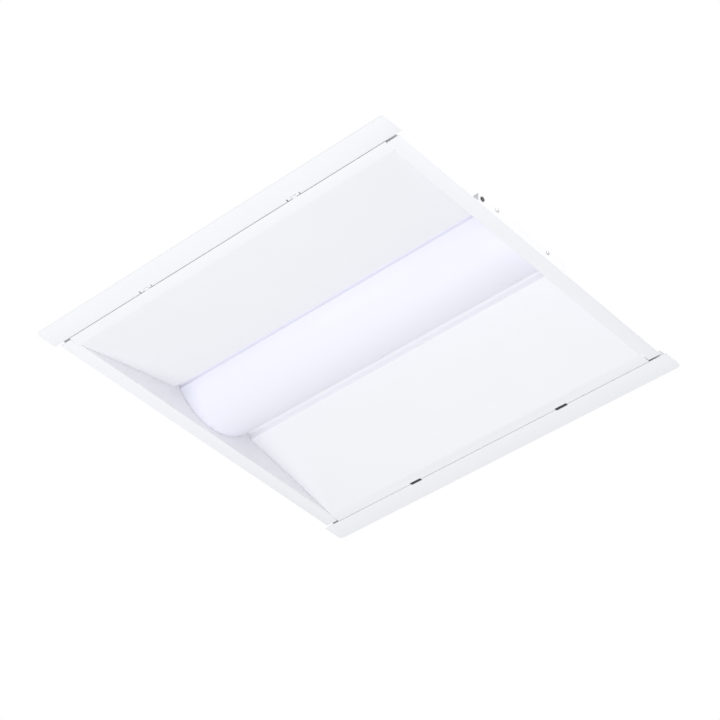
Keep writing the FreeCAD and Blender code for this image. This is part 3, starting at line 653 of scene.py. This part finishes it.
@dataclass(frozen=True)
class Lathe:
    """A closed turned form about Z.

    Args:
        profile: (radius, height) pairs from axis to axis.
        sides: Sides round the form.
    """

    profile: tuple[Pair, ...]
    sides: int = 40

    def form(self) -> bmesh.types.BMesh:
        """Turn the profile.

        Returns:
            The form as a bmesh.
        """
        form = bmesh.new()
        angles = [2 * math.pi * side / self.sides for side in range(self.sides)]
        rings = []
        for radius, height in self.profile:
            if radius < ON_AXIS:
                rings.append([form.verts.new((0.0, 0.0, height))])
                continue
            rings.append([form.verts.new((radius * math.cos(angle), radius * math.sin(angle), height))
                          for angle in angles])
        for low, high in zip(rings, rings[1:]):
            for side in range(self.sides):
                after = (side + 1) % self.sides
                corners = [low[side % len(low)], low[after % len(low)],
                           high[after % len(high)], high[side % len(high)]]
                form.faces.new(list(dict.fromkeys(corners)))
        return form


@dataclass(frozen=True)
class Recess:
    """The cross recess in a screw's crown.

    Args:
        reach: Reach of each slot from the axis.
        half_width: Half width of a slot.
        depth: Depth at the axis.
        fall: Share of the depth that is gone at a slot's end.
    """

    reach: float = 1.55 * MM
    half_width: float = 0.42 * MM
    depth: float = 0.95 * MM
    fall: float = 0.75

    def depth_at(self, along: float, across: float) -> float:
        """How deep the recess is at a place on the crown.

        Args:
            along: Distance from the axis along X.
            across: Distance from the axis along Y.

        Returns:
            The depth, or 0 outside the recess.
        """
        long_way, short_way = max(along, across), min(along, across)
        if long_way > self.reach or short_way > self.half_width:
            return 0.0
        return self.depth * (1.0 - self.fall * long_way / self.reach)


@dataclass(frozen=True)
class Thread:
    """A screw's rolled thread and its blunt tip.

    Args:
        radius: Radius over the thread.
        pitch: Distance from turn to turn.
        root_share: Radius at the root, as a share of the radius.
        root_drop: Distance of the root under the turn's start.
        run_out: The turns end at least this far above the screw's end.
        tip_share: Radius where the tip starts, as a share of the radius.
        tip_length: Length of the tip.
    """

    radius: float = 1.5 * MM
    pitch: float = 0.9 * MM
    root_share: float = 0.84
    root_drop: float = 0.15 * MM
    run_out: float = 0.6 * MM
    tip_share: float = 0.8
    tip_length: float = 0.4 * MM

    def profile(self, length: float) -> list[Pair]:
        """List the outline from the seat down to the end.

        Args:
            length: Length under the head.

        Returns:
            (radius, height) pairs.
        """
        rows: list[Pair] = []
        step = 0.0
        while step + self.pitch < length - self.run_out:
            rows.append((self.radius * self.root_share, -step - self.root_drop))
            rows.append((self.radius, -step - self.pitch / 2))
            step += self.pitch
        return rows + [(self.radius * self.tip_share, -length + self.tip_length), (0.0, -length)]


@dataclass(frozen=True)
class ScrewForm:
    """A pan-head screw with a cross recess and a rolled thread, pointing along -Z from the head's seat.

    Args:
        head: Radius of the head.
        rise: Height of the head over its seat.
        length: Length under the head.
        crown_share: Radius of the crown, as a share of the head's.
        crown_drop: Fall of the crown from its middle to its edge.
        crown_rings: Rings over the crown.
        rim_share: Height of the rim's upper edge, as a share of the rise.
        rim_foot: Height of the rim's lower edge.
        seat_share: Radius of the seat, as a share of the head's.
        solid_share: The recess stays above this share of the rise.
        sides: Sides round the screw.
        recess: The cross recess.
        thread: The thread.
    """

    head: float = 2.9 * MM
    rise: float = 1.6 * MM
    length: float = 5.0 * MM
    crown_share: float = 0.94
    crown_drop: float = 0.45 * MM
    crown_rings: int = 14
    rim_share: float = 0.55
    rim_foot: float = 0.12 * MM
    seat_share: float = 0.96
    solid_share: float = 0.5
    sides: int = 48
    recess: Recess = Recess()
    thread: Thread = Thread()

    def mesh(self, name: str, turn: Matrix) -> bpy.types.Mesh:
        """Make the screw.

        Args:
            name: The mesh's name.
            turn: The rotation that sends +Z the way that the head faces.

        Returns:
            The screw, with its seat at the origin.
        """
        form = Lathe((*self._head(), *self.thread.profile(self.length)), self.sides).form()
        for vert in form.verts:
            if vert.co.z > self.rise * self.solid_share:
                vert.co.z -= self.recess.depth_at(abs(vert.co.x), abs(vert.co.y))
        form.transform(turn)
        return mesh_from(form, name)

    def _head(self) -> list[Pair]:
        """List the outline of crown, rim and seat.

        Returns:
            (radius, height) pairs.
        """
        crown = []
        for ring in range(self.crown_rings + 1):
            part = ring / self.crown_rings
            crown.append((self.head * self.crown_share * part, self.rise - self.crown_drop * part ** 3))
        rim = [(self.head, self.rise * self.rim_share), (self.head, self.rim_foot)]
        return [*crown, *rim, (self.head * self.seat_share, 0.0)]


@dataclass
class ScrewSet:
    """Every screw of one node, at the places that its CAD solids have.

    Args:
        node: The CAD node that it stands for.
        facing: The way that the heads face.
        length: Length under the head.
    """

    node: str
    facing: Facing
    length: float = 5.0 * MM

    def build(self, shop: Workshop) -> bpy.types.Object:
        """Repeat the screw at the middle of each CAD solid's head.

        Args:
            shop: The workshop.

        Returns:
            The piece.
        """
        screw = ScrewForm(length=self.length)
        form = screw.mesh(self.node + "_form", self.facing.turn())
        material = shop.materials[shop.slot_of(self.node)]
        rows = Repeater(self.node + "_rows", [Layer(form, material)], in_line=False)
        solids = shop.merged_copy(self.node)
        seats = [self._seat([vert.co for vert in shell], screw.rise) for shell in shells_of(solids)]
        solids.free()
        return shop.finish_piece(rows.run(seats), self.node)

    def _seat(self, spots: list[Vector], rise: float) -> Point:
        """Find the middle of a head's seat.

        Args:
            spots: The vertices of the screw's CAD solid.
            rise: Height of the head over its seat.

        Returns:
            The middle of the seat.
        """
        axis, sense = self.facing.value
        middle = [(min(spot[i] for spot in spots) + max(spot[i] for spot in spots)) / 2 for i in range(3)]
        ends = [spot[axis] for spot in spots]
        top = max(ends) if sense > 0 else min(ends)
        middle[axis] = top - sense * rise
        return tuple(middle)


@dataclass
class LeadSet:
    """A node of insulated leads, each in its own insulation colour.

    Args:
        node: The CAD node that it stands for.
        colours: One finish for each lead, taken in order across the light.
    """

    node: str
    colours: tuple[Finish, ...]

    def build(self, shop: Workshop) -> bpy.types.Object:
        """Copy the leads' form and paint each shell.

        Args:
            shop: The workshop.

        Returns:
            The piece.
        """
        form = shop.merged_copy(self.node)
        across = sorted(shells_of(form), key=lambda shell: sum(vert.co.y for vert in shell) / len(shell))
        for index, shell in enumerate(across):
            for face in {face for vert in shell for face in vert.link_faces}:
                face.material_index = index % len(self.colours)
        mesh = mesh_from(form, self.node + "_leads")
        for colour in self.colours:
            mesh.materials.append(shop.materials[colour.name])
        return shop.finish_piece(mesh, self.node)


@dataclass
class ChipRow:
    """A board's row of light-emitting chips: a pale package with a domed phosphor window.

    Args:
        node: The CAD node that it stands for.
        board_centre: The board's place across the light.
        count: Chips on the board.
        pitch: Distance between chips.
        size: Side of a package.
        height: Height of a chip.
        under: Height of the board's lower face.
        package_share: Height of the package, as a share of the chip's.
        corner: Radius of the package's edges.
        corner_facets: Facets over that radius.
        window_share: Radius of the window, as a share of the package's side.
        window_base: Depth of the window's rim under the board, as a share of the chip's height.
        window_sink: How far the window reaches up into the package.
        dome: Bulge of the window at its steps.
        dome_tip: Bulge of the window at its middle.
        dome_steps: Angles of the steps over the dome, in radians.
        window_sides: Sides round the window.
    """

    node: str
    board_centre: float
    count: int = CHIPS
    pitch: float = BOARD_LENGTH / CHIPS * MM
    size: float = 3.0 * MM
    height: float = 0.7 * MM
    under: float = 45.6 * MM
    package_share: float = 0.84
    corner: float = 0.18 * MM
    corner_facets: int = 2
    window_share: float = 0.40
    window_base: float = 0.80
    window_sink: float = 0.05 * MM
    dome: float = 0.13 * MM
    dome_tip: float = 0.14 * MM
    dome_steps: tuple[float, ...] = (0.4, 0.8, 1.2)
    window_sides: int = 24

    def build(self, shop: Workshop) -> bpy.types.Object:
        """Repeat the chip down the board.

        Args:
            shop: The workshop.

        Returns:
            The piece.
        """
        layers = [Layer(self._package(), shop.materials["board_white"]),
                  Layer(self._window(), shop.materials["chip_phosphor"])]
        start = (-(self.count - 1) * self.pitch / 2, self.board_centre, self.under)
        mesh = Repeater(self.node + "_row", layers, in_line=True).run(
            [(0.0, 0.0, 0.0)], Count=self.count, Pitch=(self.pitch, 0.0, 0.0), Start=start)
        return shop.finish_piece(mesh, self.node)

    def _package(self) -> bpy.types.Mesh:
        """Make a square package with softened corners, hanging from its board.

        Returns:
            The package's mesh.
        """
        form = bmesh.new()
        bmesh.ops.create_cube(form, size=1.0)
        height = self.height * self.package_share
        form.transform(Matrix.Translation((0, 0, -height / 2))
                       @ Matrix.Diagonal((self.size, self.size, height, 1.0)))
        bmesh.ops.bevel(form, geom=list(form.edges), offset=self.corner, offset_type="OFFSET",
                        segments=self.corner_facets, profile=ROUND, affect="EDGES")
        return mesh_from(form, "chip_package")

    def _window(self) -> bpy.types.Mesh:
        """Make the phosphor window, a shallow dome.

        Returns:
            The window's mesh.
        """
        radius, base = self.size * self.window_share, -self.height * self.window_base
        rows = [(0.0, base + self.window_sink), (radius, base + self.window_sink), (radius, base)]
        rows += [(radius * math.cos(step), base - self.dome * math.sin(step)) for step in self.dome_steps]
        rows.append((0.0, base - self.dome_tip))
        return mesh_from(Lathe(tuple(rows), self.window_sides).form(), "chip_window")


@dataclass(frozen=True)
class SubAssembly(ABC):
    """A group of parts that a maker would put together on a bench.

    Args:
        sheet_edge: Edge radius of sheet metal and turned pins.
        moulded_edge: Edge radius of moulded plastic and rubber.
    """

    sheet_edge: float = 0.22 * MM
    moulded_edge: float = 0.35 * MM

    @abstractmethod
    def parts(self) -> list[Dressed]:
        """List the sub-assembly's parts.

        Returns:
            The parts, in the order of building.
        """

    def build(self, shop: Workshop) -> set[str]:
        """Make every part.

        Args:
            shop: The workshop.

        Returns:
            The CAD nodes that the parts stand for.
        """
        parts = self.parts()
        for part in parts:
            piece = part.build(shop)
            LOG.info("%s: %s, %d faces", type(self).__name__, piece.name, len(piece.data.polygons))
        return {part.node for part in parts}

    def sheet(self, *nodes: str) -> list[SoftenedPart]:
        """Make sheet and turned parts.

        Args:
            nodes: Their CAD nodes.

        Returns:
            A part for each node.
        """
        return [SoftenedPart(node, self.sheet_edge) for node in nodes]

    def moulded(self, *nodes: str) -> list[SoftenedPart]:
        """Make moulded parts.

        Args:
            nodes: Their CAD nodes.

        Returns:
            A part for each node.
        """
        return [SoftenedPart(node, self.moulded_edge) for node in nodes]


@dataclass(frozen=True)
class MountingRails(SubAssembly):
    """The two rails that the ceiling holds, with the fixed half of the seam hinges and the light seals."""

    def parts(self) -> list[Dressed]:
        """List rails, knuckles, pins and seals.

        Returns:
            The parts, in the order of building.
        """
        return self.sheet("hinge_rail", "latch_rail", "rail_knuckle_near", "rail_knuckle_far",
                          "hinge_pin_near", "hinge_pin_far", "light_seal_hinge_side", "light_seal_latch_side")


@dataclass(frozen=True)
class OpticalDoor(SubAssembly):
    """The door's face: reflectors, end plates, lens and tray.

    Args:
        fold: Radius of the reflectors' shallow folds.
        lens_edge: Edge radius of the lens.
        end_screw_length: Length of the screws through the end plates.
    """

    fold: float = 0.5 * MM
    lens_edge: float = 0.45 * MM
    end_screw_length: float = 6.0 * MM

    def parts(self) -> list[Dressed]:
        """List folded sheet, the lens, the moving half of the hinges, the plug and the end screws.

        Returns:
            The parts, in the order of building.
        """
        return [
            SoftenedPart("reflector_hinge_side", self.sheet_edge, self.fold),
            SoftenedPart("reflector_latch_side", self.sheet_edge, self.fold),
            *self.sheet("end_plate_near", "end_plate_far", "led_tray"),
            *self.sheet("door_knuckle_near", "door_knuckle_far"),
            SoftenedPart("diffuser_lens", self.lens_edge),
            *self.moulded("end_plug"),
            ScrewSet("end_screws_near", Facing.NEAR, self.end_screw_length),
            ScrewSet("end_screws_far", Facing.FAR, self.end_screw_length),
        ]


@dataclass(frozen=True)
class LightEngine(SubAssembly):
    """Both boards with their chips, plugs, screws and leads.

    Args:
        board_line: Distance of each board's centre from the light's.
        screw_length: Length of the boards' screws.
    """

    board_line: float = 27.0 * MM
    screw_length: float = 4.0 * MM

    def parts(self) -> list[Dressed]:
        """List boards, chips, plugs, screws and leads.

        Returns:
            The parts, in the order of building.
        """
        return [
            *self.sheet("led_board_hinge_side", "led_board_latch_side"),
            ChipRow("leds_hinge_side", -self.board_line),
            ChipRow("leds_latch_side", self.board_line),
            *self.moulded("board_connectors"),
            ScrewSet("board_screws", Facing.DOWN, self.screw_length),
            LeadSet("board_leads_hinge_side", BOARD_COLOURS),
            LeadSet("board_leads_latch_side", BOARD_COLOURS),
        ]


@dataclass(frozen=True)
class DriverBox(SubAssembly):
    """The housing on the back, with the driver and the wiring space's fixed parts."""

    def parts(self) -> list[Dressed]:
        """List housing, driver, terminals, leads, grommet and screws.

        Returns:
            The parts, in the order of building.
        """
        return [
            *self.sheet("driver_housing", "cover_knuckles", "cover_pin"),
            *self.moulded("driver", "terminal_block", "tray_grommet"),
            ScrewSet("housing_screws", Facing.UP),
            ScrewSet("driver_screws", Facing.UP),
            ScrewSet("earth_screw", Facing.UP),
            LeadSet("supply_leads", SUPPLY_COLOURS),
        ]


@dataclass(frozen=True)
class QuarterTurnLatches(SubAssembly):
    """The two cams and the studs that they turn on."""

    def parts(self) -> list[Dressed]:
        """List cams and studs.

        Returns:
            The parts, in the order of building.
        """
        return self.sheet("latch_cam_near", "latch_cam_far", "latch_stud_near", "latch_stud_far")


@dataclass(frozen=True)
class WiringCover(SubAssembly):
    """The hinged cover over the wiring space, with the screw that it carries."""

    def parts(self) -> list[Dressed]:
        """List cover and screw.

        Returns:
            The parts, in the order of building.
        """
        return [*self.sheet("wiring_cover"), ScrewSet("wiring_cover_screw", Facing.UP)]


@dataclass(frozen=True)
class Camera:
    """The photograph's camera, under the light, as its straight edges and vanishing points give it.

    Args:
        place: Where it stands.
        right: Its right, in the part's frame.
        up: Its up.
        back: The way that its back faces.
        lens: Focal length in millimetres on a full-width sensor.
        sensor: Width of that sensor in millimetres.
        clip: Nearest and farthest distance that it sees.
    """

    place: Point = (1.50673, -1.61041, -1.89131)
    right: Point = (0.7448, 0.6668, 0.0253)
    up: Point = (0.4178, -0.4955, 0.7615)
    back: Point = (0.5203, -0.5566, -0.6476)
    lens: float = 112.65
    sensor: float = 36.0
    clip: Pair = (0.05, 60.0)

    def build(self) -> None:
        """Make it the scene's camera."""
        data = bpy.data.cameras.new("photo_camera")
        data.lens, data.sensor_width = self.lens, self.sensor
        data.clip_start, data.clip_end = self.clip
        camera = bpy.data.objects.new("photo_camera", data)
        turn = Matrix((self.right, self.up, self.back)).transposed()
        camera.matrix_world = Matrix.Translation(self.place) @ turn.to_quaternion().to_matrix().to_4x4()
        bpy.context.scene.collection.objects.link(camera)
        bpy.context.scene.camera = camera


@dataclass(frozen=True)
class SoftLamp:
    """A square area lamp aimed at a spot.

    Args:
        name: The lamp's name.
        place: Where it stands.
        aim: What it points at.
        size: Its side.
        watts: Its strength.
        colour: Its colour.
    """

    name: str
    place: Point
    aim: Point
    size: float
    watts: float
    colour: Point = (1.0, 1.0, 1.0)

    def build(self) -> None:
        """Make the lamp."""
        data = bpy.data.lights.new(self.name, "AREA")
        data.size, data.energy, data.color = self.size, self.watts, self.colour
        lamp = bpy.data.objects.new(self.name, data)
        lamp.location = self.place
        way = Vector(self.aim) - Vector(self.place)
        lamp.rotation_euler = way.to_track_quat("-Z", "Y").to_euler()
        bpy.context.scene.collection.objects.link(lamp)


@dataclass(frozen=True)
class Studio:
    """A plain pale floor well below the light, a white backdrop, and soft lamps.

    Args:
        floor_height: Height of the floor.
        floor_reach: Half the floor's side.
        floor_colour: The floor's grey.
        floor_roughness: The floor's roughness.
        world_level: Strength of the world's plain light.
        lamps: The lamps.
    """

    floor_height: float = -3.2
    floor_reach: float = 14.0
    floor_colour: Point = (0.86, 0.86, 0.86)
    floor_roughness: float = 0.9
    world_level: float = 0.718
    lamps: tuple[SoftLamp, ...] = (
        SoftLamp("hinge_side", (-0.9, -1.3, -1.3), (0.0, -0.15, 0.0), 1.0, 6.0),
        SoftLamp("below", (0.0, 0.0, -2.2), (0.0, 0.0, 0.0), 1.5, 10.3),
        SoftLamp("camera_side", (1.2, -1.4, -1.8), (0.0, 0.0, 0.0), 1.2, 8.9),
        SoftLamp("near_end", (1.8, 0.1, 1.0), (0.27, 0.0, 0.03), 1.0, 14.8, (1.0, 0.98, 0.95)),
    )

    def build(self) -> None:
        """Make the world, the floor and the lamps."""
        bpy.context.scene.view_settings.view_transform = "Standard"
        self._world()
        self._floor()
        for lamp in self.lamps:
            lamp.build()

    @staticmethod
    def _white_when_seen(tree: bpy.types.NodeTree, plain: float) -> bpy.types.NodeSocket:
        """Add a strength that is plain for light, and 1 where the camera, a mirror or glass sees it.

        Args:
            tree: The world's tree.
            plain: The strength as a light.

        Returns:
            The strength.
        """
        path = tree.nodes.new("ShaderNodeLightPath")
        seen = tree.nodes.new("ShaderNodeMath")
        seen.operation = "MAXIMUM"
        tree.links.new(path.outputs["Is Camera Ray"], seen.inputs[0])
        through = tree.nodes.new("ShaderNodeMath")
        through.operation = "MAXIMUM"
        tree.links.new(path.outputs["Is Glossy Ray"], through.inputs[0])
        tree.links.new(path.outputs["Is Transmission Ray"], through.inputs[1])
        tree.links.new(through.outputs[0], seen.inputs[1])
        level = tree.nodes.new("ShaderNodeMapRange")
        level.inputs["To Min"].default_value = plain
        level.inputs["To Max"].default_value = 1.0
        tree.links.new(seen.outputs[0], level.inputs["Value"])
        return level.outputs["Result"]

    def _world(self) -> None:
        """Make the backdrop."""
        world = bpy.data.worlds.new("backdrop")
        world.use_nodes = True
        tree = world.node_tree
        sky = tree.nodes["Background"]
        sky.inputs["Color"].default_value = (1.0, 1.0, 1.0, 1.0)
        tree.links.new(self._white_when_seen(tree, self.world_level), sky.inputs["Strength"])
        bpy.context.scene.world = world

    def _floor(self) -> None:
        """Make the floor, as part of the stage."""
        reach, height = self.floor_reach, self.floor_height
        mesh = bpy.data.meshes.new("floor")
        corners = [(x * reach, y * reach, height) for x, y in ((-1, -1), (1, -1), (1, 1), (-1, 1))]
        mesh.from_pydata(corners, [], [(0, 1, 2, 3)])
        floor = bpy.data.objects.new("floor", mesh)
        bpy.context.scene.collection.objects.link(floor)
        material = bpy.data.materials.new("floor")
        material.use_nodes = True
        shader = material.node_tree.nodes["Principled BSDF"]
        shader.inputs["Base Color"].default_value = (*self.floor_colour, 1.0)
        shader.inputs["Roughness"].default_value = self.floor_roughness
        mesh.materials.append(material)


def main() -> None:
    """Dress the part, light it and set the photograph's view."""
    logging.basicConfig(level=logging.INFO)
    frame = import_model()
    shop = Workshop(frame)
    dressed: set[str] = set()
    for assembly in (MountingRails(), OpticalDoor(), LightEngine(), DriverBox(), QuarterTurnLatches(),
                     WiringCover()):
        dressed |= assembly.build(shop)
    for node in sorted(set(frame["nodes"]) - dressed):
        LOG.warning("%s keeps its CAD mesh", node)
    shop.paint_frame()
    Camera().build()
    Studio().build()


if __name__ == "__main__":
    main()
